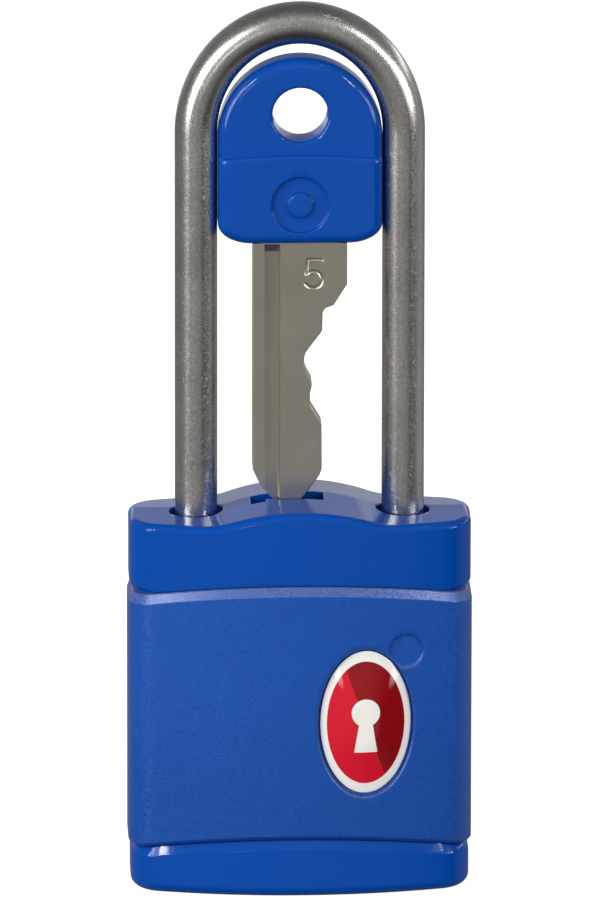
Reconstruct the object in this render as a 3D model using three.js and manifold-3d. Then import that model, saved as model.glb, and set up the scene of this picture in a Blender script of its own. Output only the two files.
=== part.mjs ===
// A small keyed luggage padlock: a steel shackle, a zinc lock core wrapped in a painted sleeve
// between two plastic caps, and a key standing in the mouth of the keyway.
// Millimetres, +Z up, origin at the middle of the base. The badge side faces -Y.
import * as THREE from 'three';
import { mergeVertices } from 'three/addons/utils/BufferGeometryUtils.js';
import Module from 'manifold-3d';

const wasm = await Module();
wasm.setup();

// ---- Driving dimensions ----

// Plan of the body: bowed front and back, rounded corners, flat sides.
const sleeveWidth = 30.0;
const sleeveDepth = 13.0;
const frontBowRadius = 49.0;
const cornerRadius = 3.0;
const sleeveWall = 0.85;
const topCapStepIn = 0.1; // how far the sleeve's sides stand proud of the top cap
const bottomCapStepIn = 0.2;
const capFrontStepIn = 0.45; // the same on the front and back

// Heights of the body.
const shoulderHeight = 33.4;
const crownRise = 1.35; // of the crown that carries the keyway, over the shoulders
const crownRadius = 20.0;
const crownHalfWidth = 6.0;
const upperSeamHeight = 28.5; // at the middle; both seams fall away to the sides
const lowerSeamHeight = 5.35;
const seamArch = 1.4;
const seamGap = 0.08;
const sleeveBevelHeight = 0.8;
const sleeveBevelDepth = 0.35;
const capEdgeRadius = 0.9;
const footRadius = 1.5;

// Fits.
const pressGap = 0.12; // between nested shells
const seatGap = 0.05; // between faces that rest on each other
const runningGap = 0.06; // round the plug
const endGap = 0.3; // at the ends of moving pieces
const boreGap = 0.15; // round the shackle legs

// Inside of the caps.
const capFloor = 1.6;
const bottomLip = 0.8;
const topLip = 0.4;
const lipLength = 1.5;
const capRoof = 2.05; // thickness of the top cap at its shoulders
const basePlateHeight = 1.0;
const screwSpacing = 8.0;
const screwRadius = 1.0;
const screwHeadRadius = 1.9;
const screwHeadHeight = 1.1;
const screwDepth = 6.5;
const screwSlotWidth = 0.5;
const screwSlotDepth = 0.4;

// Shackle.
const bowRoom = 1.1; // between the standing key's head and the bow
const legSpacing = 18.0;
const wireDiameter = 3.7;
const legHoleGap = 0.52; // round each leg in the top cap
const legEndChamfer = 0.4;
const heelEndHeight = 12.0;
const heelLip = 1.3;
const heelFlatDepth = 0.7;
const liftedClearance = 0.6; // of the toe over the shoulder
const springWire = 0.5;
const springTurns = 5;
const springEndFit = 0.15;

// Plug, wafers, ball and pins.
const plugMargin = 0.3; // plug radius beyond the blade's edge
const noseOverhang = 0.45; // of the plug's face beyond the plug
const plugFloor = 1.0;
const keywayGap = 0.2; // on each flat of the blade
const keywayEndGap = 0.15;
const wardGap = 0.15;
const waferCount = 5;
const waferPitch = 2.3;
const waferThickness = 0.7;
const waferSlotGap = 0.05;
const waferHalfDepth = 2.1;
const waferBar = 0.7;
const waferBelowTop = 1.1;
const waferThrow = 0.5;
const ballBite = 0.85; // how deep the ball stands in the shackle's notch
const ballGap = 0.08;
const ballBelowTop = 3.0;
const toeBelowBall = 3.2;
const heelPinRadius = 0.7;
const plugPinRadius = 0.6;
const pinGap = 0.03;
const plugPinHeight = 2.2; // above the plug's end
const plugGrooveDepth = 0.45;

// Key.
const bladeWidth = 8.2;
const bladeThickness = 2.0;
const bladeLength = 23.7;
const keyEntry = 0.4; // depth of the tip in the keyway
const shoulderStart = 4.0; // from the head
const shoulderDistance = 6.2; // from the head to the stop
const bittedEdge = 1.93; // uncut edge of the bitted part
const shoulderStep = 0.3;
const firstCut = [8.2, 10.4, 11.3, 12.9]; // from the head: start, floor from and to, end
const secondCut = [12.9, 13.7, 14.7, 16.3];
const firstCutEdge = 0.4;
const secondCutEdge = 0.88;
const cutRidgeEdge = 1.08; // of the ridge between the two cuts
const tipCutLength = 3.0; // of the slopes that run in to the tip
const tipCutEdge = 0.4;
const tipRound = 0.8;
const tipLeftEdge = -1.8;
const grooveOuterEdge = -3.1;
const grooveWidth = 1.35;
const grooveDepth = 0.65;
const grooveRunOut = 0.8;
const tangWidth = 6.0;
const tangLength = 6.0;
const headClearance = 0.15; // to each leg
const headHeight = 16.6;
const headThickness = 3.6;
const headUpperThickness = 3.2;
const headStepHeight = 7.6; // above the head's lower edge
const headStepLength = 1.2;
const headEdgeRadius = 1.0;
const headCornerRadius = 1.8;
const ringHoleDiameter = 4.9;
const ringHoleDrop = 5.0; // from the head's top
const dimpleDiameter = 5.0;
const dimpleHeight = 3.6;
const dimpleDepth = 0.3;

// Badge and the small round recess beside it.
const badgeWidth = 7.9;
const badgeHeight = 12.9;
const badgeAcross = 5.6;
const badgeUp = 16.0;
const badgeGap = 0.25;
const badgeRecess = 0.5;
const badgeDome = 0.25;
const markDiameter = 3.0;
const markAcross = 9.1;
const markUp = 22.4;
const markRecess = 0.3;

// Facets.
const cornerSteps = 5;
const bowSteps = 16;
const crownSteps = 28;
const edgeSteps = 4;
const roundSegments = 32;
const wireSegments = 20;
const shackleBowSteps = 20;
const camSteps = 10;
const domeSteps = 5;
const coilSteps = 12; // in each turn of the spring

// ---- Places worked out from the dimensions ----

const sleevePlan = { halfWidth: sleeveWidth / 2, halfDepth: sleeveDepth / 2 };
const topPlan = {
  halfWidth: sleevePlan.halfWidth - topCapStepIn,
  halfDepth: sleevePlan.halfDepth - capFrontStepIn,
};
const bottomPlan = {
  halfWidth: sleevePlan.halfWidth - bottomCapStepIn,
  halfDepth: sleevePlan.halfDepth - capFrontStepIn,
};
const coreInset = sleeveWall + pressGap;
const footInset = coreInset + bottomLip + pressGap;
const towerInset = coreInset + topLip + pressGap;

const crownHeight = shoulderHeight + crownRise;
const roofHeight = shoulderHeight - capRoof;
const coreTop = roofHeight - pressGap;
const topLipEnd = upperSeamHeight - seamArch - lipLength;
const bottomLipEnd = lowerSeamHeight + lipLength;
const screwHeadBase = capFloor + endGap;
const basePlateBase = screwHeadBase + screwHeadHeight + seatGap;
const basePlateTop = basePlateBase + basePlateHeight;
const coreBase = basePlateTop + seatGap;

const wireRadius = wireDiameter / 2;
const legAcross = legSpacing / 2;
const legInside = legAcross - wireRadius;
const legBoreRadius = wireRadius + boreGap;
const legHoleRadius = wireRadius + legHoleGap;
const ballHeight = coreTop - ballBelowTop;
const toeEndHeight = ballHeight - toeBelowBall;
const shackleLift = shoulderHeight + liftedClearance - toeEndHeight;
const heelPinHeight = heelEndHeight + heelLip + shackleLift + heelPinRadius + endGap;
const heelPinAcross = -legInside - heelFlatDepth + heelPinRadius + seatGap;

const bladeHalf = bladeWidth / 2;
const headBase = crownHeight - keyEntry + bladeLength;
const headHalf = legInside - headClearance;
const bowHeight = headBase + headHeight + bowRoom - legInside; // centre of the bow
const keyTravel = headBase - shoulderDistance - crownHeight - endGap / 2;
const keywayFloor = crownHeight - keyEntry - keyTravel - endGap;
const keywayHalf = bladeThickness / 2 + keywayGap;
const keywayRight = bittedEdge + keywayEndGap;
const keywayLeft = -bladeHalf - keywayEndGap;

const plugRadius = bladeHalf + plugMargin;
const plugBase = keywayFloor - plugFloor;
const plugTop = roofHeight + keywayEndGap;
const noseRadius = plugRadius + noseOverhang;
const plugPinZ = plugBase + plugPinHeight;
const plugPinAcross = plugRadius - plugGrooveDepth + plugPinRadius + seatGap;
const waferEdge = keywayRight + seatGap; // inner edge of each wafer's window
const waferTips = -Math.sqrt(plugRadius ** 2 - waferHalfDepth ** 2) + seatGap;
const waferEnd = waferEdge + waferBar;
const waferTop = plugTop - waferBelowTop;

// The ball fills the room between plug and toe leg and stands out of it by its bite.
const ballRadius = (legInside - plugRadius + ballBite) / 2;
const ballFreeAcross = legInside - seatGap - ballRadius;
const ballLockedAcross = plugRadius + seatGap + ballRadius;

// ---- Shape helpers ----

// Height of a seam above the base: highest in the middle of the front.
function seam(middle, x) {
  return middle - seamArch * (x / sleevePlan.halfWidth) ** 2;
}

// Height of the top face: a round crown that runs out through two hollows into the shoulders.
function topFace(x) {
  const across = Math.abs(x);
  const turn = Math.asin(crownHalfWidth / crownRadius);
  const crownEdge = crownHeight - crownRadius * (1 - Math.cos(turn));
  const hollowRadius = (crownEdge - shoulderHeight) / (1 - Math.cos(turn));
  const hollowEnd = crownHalfWidth + hollowRadius * Math.sin(turn);
  if (across < crownHalfWidth) {
    return crownHeight - crownRadius + Math.sqrt(crownRadius ** 2 - across ** 2);
  }
  if (across < hollowEnd) {
    return shoulderHeight + hollowRadius - Math.sqrt(hollowRadius ** 2 - (hollowEnd - across) ** 2);
  }
  return shoulderHeight;
}

// A ring lists one side's points and then the other side's back again, so points that face each
// other across the ring pair up. Rings run anticlockwise about the direction they are stacked in.
function bothSides(side, mirrored) {
  return [...side, ...side.map(mirrored).reverse()];
}

// The body's outline, drawn in by an inset, at a height that is a number or a function of x.
function planRing(plan, inset, height, steps = bowSteps) {
  const bowCentre = plan.halfDepth - frontBowRadius;
  const cornerX = plan.halfWidth - cornerRadius;
  const cornerY = bowCentre + Math.sqrt((frontBowRadius - cornerRadius) ** 2 - cornerX ** 2);
  const meet = Math.atan2(cornerY - bowCentre, cornerX);
  const level = typeof height === 'function' ? height : () => height;
  const side = [];
  const add = (centreX, centreY, radius, turn) => {
    const x = centreX + (radius - inset) * Math.cos(turn);
    side.push(new THREE.Vector3(x, centreY + (radius - inset) * Math.sin(turn), level(x)));
  };
  for (let i = 0; i < cornerSteps; i++) add(cornerX, cornerY, cornerRadius, (meet * i) / cornerSteps);
  for (let i = 0; i <= steps; i++) {
    add(0, bowCentre, frontBowRadius, meet + ((Math.PI - 2 * meet) * i) / steps);
  }
  for (let i = 1; i <= cornerSteps; i++) {
    add(-cornerX, cornerY, cornerRadius, Math.PI - meet + (meet * i) / cornerSteps);
  }
  return bothSides(side, (p) => new THREE.Vector3(p.x, -p.y, p.z));
}

// A round ring about a point, square to a direction that lies in the XZ plane or the XY plane.
function roundRing(centre, along, across, radius, count = wireSegments) {
  const other = along.clone().cross(across);
  return Array.from({ length: count }, (_, i) => {
    const turn = ((i + 0.5) / count) * 2 * Math.PI;
    return centre.clone()
      .addScaledVector(across, radius * Math.cos(turn))
      .addScaledVector(other, radius * Math.sin(turn));
  });
}

// Skins a stack of rings. The ends are closed by strips across the ring, or, where the stack is a
// loop, the last ring is joined to the first.
function loft(rings, loop = false) {
  const count = rings[0].length;
  const index = [];
  const quad = (a, b, c, d) => index.push(a, b, c, a, c, d);
  const last = loop ? rings.length : rings.length - 1;
  for (let k = 0; k < last; k++) {
    const low = k * count;
    const high = ((k + 1) % rings.length) * count;
    for (let i = 0; i < count; i++) {
      const next = (i + 1) % count;
      quad(low + i, low + next, high + next, high + i);
    }
  }
  if (!loop) {
    const top = (rings.length - 1) * count;
    for (let i = 0; i < count / 2 - 1; i++) {
      quad(top + i, top + i + 1, top + count - 2 - i, top + count - 1 - i);
      quad(i + 1, i, count - 1 - i, count - 2 - i);
    }
  }
  const geometry = new THREE.BufferGeometry().setFromPoints(rings.flat());
  geometry.setIndex(index);
  return geometry;
}

// Signed volume times six: negative where the faces point in.
function turnedVolume(position, index) {
  const [a, b, c] = [new THREE.Vector3(), new THREE.Vector3(), new THREE.Vector3()];
  let total = 0;
  for (let i = 0; i < index.length; i += 3) {
    a.fromBufferAttribute(position, index[i]);
    b.fromBufferAttribute(position, index[i + 1]);
    c.fromBufferAttribute(position, index[i + 2]);
    total += a.dot(b.cross(c));
  }
  return total;
}

// A closed geometry as a solid that can be joined to others and cut by them.
function solid(geometry) {
  const bare = geometry.clone();
  for (const name of Object.keys(bare.attributes)) {
    if (name !== 'position') bare.deleteAttribute(name);
  }
  const merged = mergeVertices(bare, 1e-4);
  const index = [];
  for (let i = 0; i < merged.index.count; i += 3) {
    const face = [0, 1, 2].map((k) => merged.index.getX(i + k));
    if (new Set(face).size === 3) index.push(...face);
  }
  if (turnedVolume(merged.attributes.position, index) < 0) index.reverse();
  return new wasm.Manifold(new wasm.Mesh({
    numProp: 3,
    vertProperties: new Float32Array(merged.attributes.position.array),
    triVerts: new Uint32Array(index),
  }));
}

function cut(body, ...tools) {
  return tools.reduce((left, tool) => left.subtract(tool), body);
}

// A box between two corners.
function block(x0, x1, y0, y1, z0, z1) {
  const box = new THREE.BoxGeometry(x1 - x0, y1 - y0, z1 - z0);
  return solid(box.translate((x0 + x1) / 2, (y0 + y1) / 2, (z0 + z1) / 2));
}

// An upright cylinder between two heights.
function upright(x, radius, z0, z1, segments = roundSegments) {
  const rod = new THREE.CylinderGeometry(radius, radius, z1 - z0, segments);
  return solid(rod.rotateX(Math.PI / 2).translate(x, 0, (z0 + z1) / 2));
}

// A cylinder from front to back.
function crossways(x, z, radius, halfLength, segments = wireSegments) {
  const rod = new THREE.CylinderGeometry(radius, radius, 2 * halfLength, segments);
  return solid(rod.translate(x, 0, z));
}

function ballShape(x, z, radius) {
  return solid(new THREE.SphereGeometry(radius, wireSegments, wireSegments / 2 + 2).rotateX(Math.PI / 2).translate(x, 0, z));
}

// Half the body's depth at a place across it, drawn in by an inset.
function halfDepthAt(x, inset) {
  const radius = frontBowRadius - inset;
  return sleevePlan.halfDepth - frontBowRadius + Math.sqrt(radius ** 2 - x ** 2);
}

// Rings of a quarter-round edge: 'from' and 'to' are turns, 0 on the wall and 90 degrees on the face.
function roundedEdge(plan, radius, face, facesUp, from, to, steps) {
  const rings = [];
  for (let i = 0; i <= edgeSteps; i++) {
    const turn = from + ((to - from) * i) / edgeSteps;
    const drop = radius * (1 - Math.sin(turn)) * (facesUp ? -1 : 1);
    const height = (x) => (typeof face === 'function' ? face(x) : face) + drop;
    rings.push(planRing(plan, radius * (1 - Math.cos(turn)), height, steps));
  }
  return rings;
}

// ---- Case ----

// Rim of a cap at its seam: rounded until it meets the lip that stands inside the sleeve.
function rimTurn(plan) {
  const tuck = coreInset - (sleevePlan.halfDepth - plan.halfDepth);
  return Math.acos(1 - tuck / capEdgeRadius);
}

function topCap() {
  const lipInside = coreInset + topLip;
  const rim = (x) => seam(upperSeamHeight, x) + seamGap;
  const shell = solid(loft([
    planRing(sleevePlan, lipInside, roofHeight, crownSteps),
    planRing(sleevePlan, lipInside, topLipEnd, crownSteps),
    planRing(sleevePlan, coreInset, topLipEnd, crownSteps),
    planRing(sleevePlan, coreInset, rim, crownSteps),
    ...roundedEdge(topPlan, capEdgeRadius, rim, false, rimTurn(topPlan), 0, crownSteps),
    ...roundedEdge(topPlan, capEdgeRadius, topFace, true, 0, Math.PI / 2, crownSteps),
  ]));
  const through = [roofHeight - 1, crownHeight + 1];
  return cut(
    shell,
    upright(0, noseRadius + runningGap, ...through, 2 * roundSegments),
    upright(-legAcross, legHoleRadius, ...through),
    upright(legAcross, legHoleRadius, ...through),
  );
}

function bodySleeve() {
  const low = (x) => seam(lowerSeamHeight, x) + seamGap;
  const high = (x) => seam(upperSeamHeight, x) - seamGap;
  const tube = solid(loft([
    planRing(sleevePlan, sleeveBevelDepth, low),
    planRing(sleevePlan, 0, (x) => low(x) + sleeveBevelDepth),
    planRing(sleevePlan, 0, (x) => high(x) - sleeveBevelHeight),
    planRing(sleevePlan, sleeveBevelDepth, high),
    planRing(sleevePlan, sleeveWall, high),
    planRing(sleevePlan, sleeveWall, low),
  ], true));
  const mark = solid(new THREE.CylinderGeometry(markDiameter / 2, markDiameter / 2, sleeveDepth, roundSegments)
    .translate(markAcross, -sleeveDepth / 2, markUp));
  return cut(
    tube,
    frontRecess(ovalPrism(badgeWidth / 2 + badgeGap, badgeHeight / 2 + badgeGap), badgeRecess),
    frontRecess(mark, markRecess),
  );
}

// What a prism through the front cuts out of the sleeve, down to a floor that follows its bow.
function frontRecess(prism, depth) {
  const floor = solid(loft([
    planRing(sleevePlan, depth, 0),
    planRing(sleevePlan, depth, crownHeight),
  ]));
  return prism.subtract(floor);
}

// An upright oval prism through the front of the sleeve at the badge's place.
function ovalPrism(halfWidth, halfHeight) {
  const oval = new THREE.CylinderGeometry(1, 1, sleeveDepth / 2, 2 * roundSegments);
  oval.scale(halfWidth, 1, halfHeight);
  return solid(oval.translate(badgeAcross, -sleeveDepth / 2, badgeUp));
}

// An oval ring that follows the sleeve's bow, drawn in by a share and standing out of it.
function badgeRing(size, out) {
  const side = Array.from({ length: roundSegments / 2 }, (_, i) => {
    const angle = Math.PI / 2 + ((i + 0.5) / (roundSegments / 2)) * Math.PI;
    const across = badgeAcross + (badgeWidth / 2) * size * Math.cos(angle);
    const up = badgeUp + (badgeHeight / 2) * size * Math.sin(angle);
    return new THREE.Vector3(across, -halfDepthAt(across, 0) - out, up);
  });
  const opposite = ({ x, z }) => {
    const across = 2 * badgeAcross - x;
    return new THREE.Vector3(across, -halfDepthAt(across, 0) - out, z);
  };
  return bothSides(side, opposite);
}

// A glossy dome that fills its recess and swells a little out of the sleeve.
function badge() {
  const rings = [badgeRing(1, -2 * badgeRecess)];
  for (let i = 0; i < domeSteps; i++) {
    const turn = (i / domeSteps) * (Math.PI / 2);
    rings.push(badgeRing(Math.cos(turn), badgeDome * Math.sin(turn)));
  }
  const floor = solid(loft([
    planRing(sleevePlan, badgeRecess - seatGap, 0),
    planRing(sleevePlan, badgeRecess - seatGap, crownHeight),
  ]));
  return solid(loft(rings)).subtract(floor);
}

function bottomCap() {
  const rim = (x) => seam(lowerSeamHeight, x) - seamGap;
  const lipInside = coreInset + bottomLip;
  return solid(loft([
    ...roundedEdge(bottomPlan, footRadius, 0, false, Math.PI / 2, 0, bowSteps),
    ...roundedEdge(bottomPlan, capEdgeRadius, rim, true, 0, rimTurn(bottomPlan), bowSteps),
    planRing(sleevePlan, coreInset, rim),
    planRing(sleevePlan, coreInset, bottomLipEnd),
    planRing(sleevePlan, lipInside, bottomLipEnd),
    planRing(sleevePlan, lipInside, capFloor),
  ]));
}

// The ball's channel from the plug to the toe leg.
function ballChannel() {
  const channel = new THREE.CylinderGeometry(ballRadius + ballGap, ballRadius + ballGap, legAcross, wireSegments);
  return solid(channel.rotateZ(Math.PI / 2).translate(legAcross / 2, 0, ballHeight));
}

// The cast core, stepped to take the lips of both caps, with the bores that everything runs in.
function lockCore() {
  const casting = solid(loft([
    planRing(sleevePlan, footInset, coreBase),
    planRing(sleevePlan, footInset, bottomLipEnd + seatGap),
    planRing(sleevePlan, coreInset, bottomLipEnd + seatGap),
    planRing(sleevePlan, coreInset, topLipEnd - seatGap),
    planRing(sleevePlan, towerInset, topLipEnd - seatGap),
    planRing(sleevePlan, towerInset, coreTop),
  ]));
  const over = coreTop + 1;
  const lowestWafer = waferTop - (waferCount - 1) * waferPitch;
  const waferGroove = block(
    waferTips - waferThrow - seatGap - keywayGap, 0,
    -waferHalfDepth - keywayGap, waferHalfDepth + keywayGap,
    lowestWafer - waferThickness, over,
  );
  const screwHoles = [-1, 1].map((side) => upright(
    (side * screwSpacing) / 2, screwRadius + runningGap, coreBase - 1, basePlateBase + screwDepth + endGap,
  ));
  return cut(
    casting,
    upright(0, plugRadius + runningGap, plugBase - endGap, over, 2 * roundSegments),
    waferGroove,
    upright(-legAcross, legBoreRadius, coreBase - 1, over),
    upright(legAcross, legBoreRadius, toeEndHeight - endGap, over),
    ballChannel(),
    crossways(heelPinAcross, heelPinHeight, heelPinRadius + pinGap, sleeveDepth),
    crossways(plugPinAcross, plugPinZ, plugPinRadius + pinGap, sleeveDepth),
    ...screwHoles,
  );
}

function basePlate() {
  const plate = solid(loft([
    planRing(sleevePlan, footInset, basePlateBase),
    planRing(sleevePlan, footInset, basePlateTop),
  ]));
  const holes = [-1, 1].map((side) => upright(
    (side * screwSpacing) / 2, screwRadius + runningGap, basePlateBase - 1, basePlateTop + 1,
  ));
  return cut(plate, ...holes);
}

// A slotted pan-head screw, driven up through the base plate.
function baseScrew(side) {
  const x = (side * screwSpacing) / 2;
  const headTop = screwHeadBase + screwHeadHeight;
  const head = upright(x, screwHeadRadius, screwHeadBase, headTop, wireSegments);
  const shank = upright(x, screwRadius, headTop - seatGap, basePlateBase + screwDepth, wireSegments);
  const slot = block(
    x - screwHeadRadius, x + screwHeadRadius, -screwSlotWidth / 2, screwSlotWidth / 2,
    screwHeadBase - 1, screwHeadBase + screwSlotDepth,
  );
  return head.add(shank).subtract(slot);
}

// A pin across the core, held in by the sleeve.
function crossPin(x, z, radius) {
  return crossways(x, z, radius, halfDepthAt(Math.abs(x) + radius, coreInset) - seatGap);
}

// Pushes the heel leg up: a plain coil between the base plate and the end of the leg.
function heelSpring() {
  const wire = springWire / 2;
  const coilRadius = wireRadius - wire - springEndFit;
  const base = basePlateTop + seatGap + wire;
  const rise = heelEndHeight - seatGap - wire - base;
  const steps = springTurns * coilSteps;
  const path = new THREE.CatmullRomCurve3(Array.from({ length: steps + 1 }, (_, i) => {
    const turn = (i / coilSteps) * 2 * Math.PI;
    return new THREE.Vector3(
      -legAcross + coilRadius * Math.cos(turn),
      coilRadius * Math.sin(turn),
      base + (rise * i) / steps,
    );
  }));
  const section = new THREE.Shape().absarc(0, 0, wire, 0, 2 * Math.PI);
  return solid(new THREE.ExtrudeGeometry(section, {
    steps, curveSegments: 4, bevelEnabled: false, extrudePath: path,
  }));
}

// ---- Shackle ----

// One round wire: up the heel leg, over the bow and down to the toe.
function shackle() {
  const up = new THREE.Vector3(0, 0, 1);
  const down = new THREE.Vector3(0, 0, -1);
  const depth = new THREE.Vector3(0, 1, 0);
  const ring = (x, z, along, radius) => roundRing(new THREE.Vector3(x, 0, z), along, depth, radius);
  const endRadius = wireRadius - legEndChamfer;
  const rings = [
    ring(-legAcross, heelEndHeight, up, endRadius),
    ring(-legAcross, heelEndHeight + legEndChamfer, up, wireRadius),
  ];
  for (let i = 0; i <= shackleBowSteps; i++) {
    const turn = Math.PI * (1 - i / shackleBowSteps);
    const along = new THREE.Vector3(Math.sin(turn), 0, -Math.cos(turn));
    rings.push(ring(legAcross * Math.cos(turn), bowHeight + legAcross * Math.sin(turn), along, wireRadius));
  }
  rings.push(ring(legAcross, toeEndHeight + legEndChamfer, down, wireRadius));
  rings.push(ring(legAcross, toeEndHeight, down, endRadius));
  const heelFlat = block(
    -legInside - heelFlatDepth, 0, -wireDiameter, wireDiameter,
    heelEndHeight + heelLip, heelPinHeight + heelPinRadius + endGap,
  );
  return cut(solid(loft(rings)), heelFlat, ballShape(ballLockedAcross, ballHeight, ballRadius + ballGap));
}

// ---- Plug ----

// The keyway's section between two heights, with the ward that the blade's groove clears.
function keyway(left, low, high) {
  const slot = block(left, keywayRight, -keywayHalf, keywayHalf, low, high);
  const ward = block(
    grooveOuterEdge + wardGap, grooveOuterEdge + grooveWidth - wardGap,
    -keywayHalf - 1, -bladeThickness / 2 + grooveDepth - wardGap, low - 1, high + 1,
  );
  return slot.subtract(ward);
}

// The ball's ramp: a round channel that is deep where the ball is free and runs out in a quarter turn.
function ballRamp() {
  const depth = new THREE.Vector3(0, 0, 1);
  const rings = [];
  for (let i = 0; i <= camSteps; i++) {
    const share = i / camSteps;
    const turn = (-Math.PI / 2) * share;
    const reach = ballFreeAcross + (ballLockedAcross - ballFreeAcross) * share;
    const centre = new THREE.Vector3(reach * Math.cos(turn), reach * Math.sin(turn), ballHeight);
    const along = new THREE.Vector3(Math.sin(turn), -Math.cos(turn), 0);
    rings.push(roundRing(centre, along, depth, ballRadius + ballGap));
  }
  return solid(loft(rings)).add(ballShape(ballFreeAcross, ballHeight, ballRadius + ballGap));
}

function lockPlug() {
  const groove = plugPinRadius + seatGap;
  const profile = [
    [0, plugBase], [plugRadius, plugBase],
    [plugRadius, plugPinZ - groove], [plugRadius - plugGrooveDepth, plugPinZ - groove],
    [plugRadius - plugGrooveDepth, plugPinZ + groove], [plugRadius, plugPinZ + groove],
    [plugRadius, plugTop], [0, plugTop],
  ].map(([r, z]) => new THREE.Vector2(r, z));
  const barrel = solid(new THREE.LatheGeometry(profile, 2 * roundSegments).rotateX(Math.PI / 2));
  const pockets = Array.from({ length: waferCount }, (_, i) => {
    const z = waferTop - i * waferPitch;
    const half = waferThickness / 2 + waferSlotGap;
    return block(
      -noseRadius, waferEnd + keywayGap,
      -waferHalfDepth - waferSlotGap, waferHalfDepth + waferSlotGap, z - half, z + half,
    );
  });
  return cut(barrel, keyway(-noseRadius, keywayFloor, plugTop + 1), ...pockets, ballRamp());
}

// The plug's plastic face, flush with the crown of the top cap.
function plugFace() {
  const crown = solid(loft([
    planRing(topPlan, 0, plugTop + seatGap, crownSteps),
    planRing(topPlan, 0, topFace, crownSteps),
  ]));
  const disc = upright(0, noseRadius, plugTop, crownHeight + 1, 2 * roundSegments);
  return crown.intersect(disc).subtract(keyway(keywayLeft, plugTop - 1, crownHeight + 1));
}

// A C-shaped wafer whose two tips stand out of the plug when no key draws it in.
function wafer(z) {
  const outline = new THREE.Shape();
  outline.moveTo(waferTips, -waferHalfDepth);
  outline.lineTo(waferEnd, -waferHalfDepth);
  outline.lineTo(waferEnd, waferHalfDepth);
  outline.lineTo(waferTips, waferHalfDepth);
  outline.lineTo(waferTips, keywayHalf);
  outline.lineTo(waferEdge, keywayHalf);
  outline.lineTo(waferEdge, -keywayHalf);
  outline.lineTo(waferTips, -keywayHalf);
  outline.closePath();
  const plate = new THREE.ExtrudeGeometry(outline, { depth: waferThickness, bevelEnabled: false });
  return solid(plate.translate(0, 0, z - waferThickness / 2));
}

// ---- Key ----

// Outline of the blade and of the tang moulded into the head. The right edge carries the cuts.
function keyBlade() {
  const slopeEnd = bladeLength - tipRound;
  const edge = [
    [bladeHalf, 0],
    [bladeHalf, shoulderStart],
    [keywayRight + seatGap, shoulderDistance],
    [bittedEdge, shoulderDistance + shoulderStep],
    [bittedEdge, firstCut[0]],
    [firstCutEdge, firstCut[1]],
    [firstCutEdge, firstCut[2]],
    [cutRidgeEdge, firstCut[3]],
    [secondCutEdge, secondCut[1]],
    [secondCutEdge, secondCut[2]],
    [bittedEdge, secondCut[3]],
    [bittedEdge, bladeLength - tipCutLength],
    [tipCutEdge, slopeEnd],
    [0, bladeLength - tipRound / 2],
    [(tipCutEdge + tipLeftEdge) / 2, bladeLength],
    [tipLeftEdge, bladeLength],
    [-bladeHalf, bladeLength - tipCutLength],
    [-bladeHalf, 0],
  ];
  const outline = new THREE.Shape();
  outline.moveTo(-tangWidth / 2, headBase);
  outline.lineTo(-tangWidth / 2, headBase + tangLength);
  outline.lineTo(tangWidth / 2, headBase + tangLength);
  outline.lineTo(tangWidth / 2, headBase);
  for (const [x, down] of edge) outline.lineTo(x, headBase - seatGap - down);
  outline.closePath();
  const plate = new THREE.ExtrudeGeometry(outline, { depth: bladeThickness, bevelEnabled: false });
  const front = -bladeThickness / 2;
  const groove = block(
    grooveOuterEdge, grooveOuterEdge + grooveWidth, front - 1, front + grooveDepth,
    headBase - bladeLength - 1, headBase - grooveRunOut,
  );
  return solid(plate.rotateX(Math.PI / 2).translate(0, bladeThickness / 2, 0)).subtract(groove);
}

// Half the head's thickness at a height: thicker below the step that crosses it.
function headHalfThickness(z) {
  const share = THREE.MathUtils.smoothstep(
    z - headBase, headStepHeight - headStepLength / 2, headStepHeight + headStepLength / 2,
  );
  return THREE.MathUtils.lerp(headThickness, headUpperThickness, share) / 2;
}

// The head's outline drawn in by an inset: round on top, rounded corners below.
function headRing(inset, sink) {
  const roundCentre = headBase + headHeight - headHalf;
  const cornerX = headHalf - headCornerRadius;
  const cornerZ = headBase + headCornerRadius;
  const places = [];
  const arc = (cx, cz, radius, from, to, steps) => {
    for (let i = 0; i <= steps; i++) {
      const turn = from + ((to - from) * i) / steps;
      places.push([cx + (radius - inset) * Math.cos(turn), cz + (radius - inset) * Math.sin(turn)]);
    }
  };
  arc(0, roundCentre, headHalf, Math.PI / 2 - 0.05, 0, 12);
  const stepHeights = [0.5, 0.25, 0, -0.25, -0.5];
  for (const share of stepHeights) {
    places.push([headHalf - inset, headBase + headStepHeight + share * headStepLength]);
  }
  arc(cornerX, cornerZ, headCornerRadius, 0, -Math.PI / 2, 5);
  const side = places.map(([x, z]) => {
    const half = headHalfThickness(z);
    return new THREE.Vector3(x, Math.sign(sink) * (half - Math.abs(sink) + 1), z);
  });
  return bothSides(side, (p) => new THREE.Vector3(-p.x, p.y, p.z));
}

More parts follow.
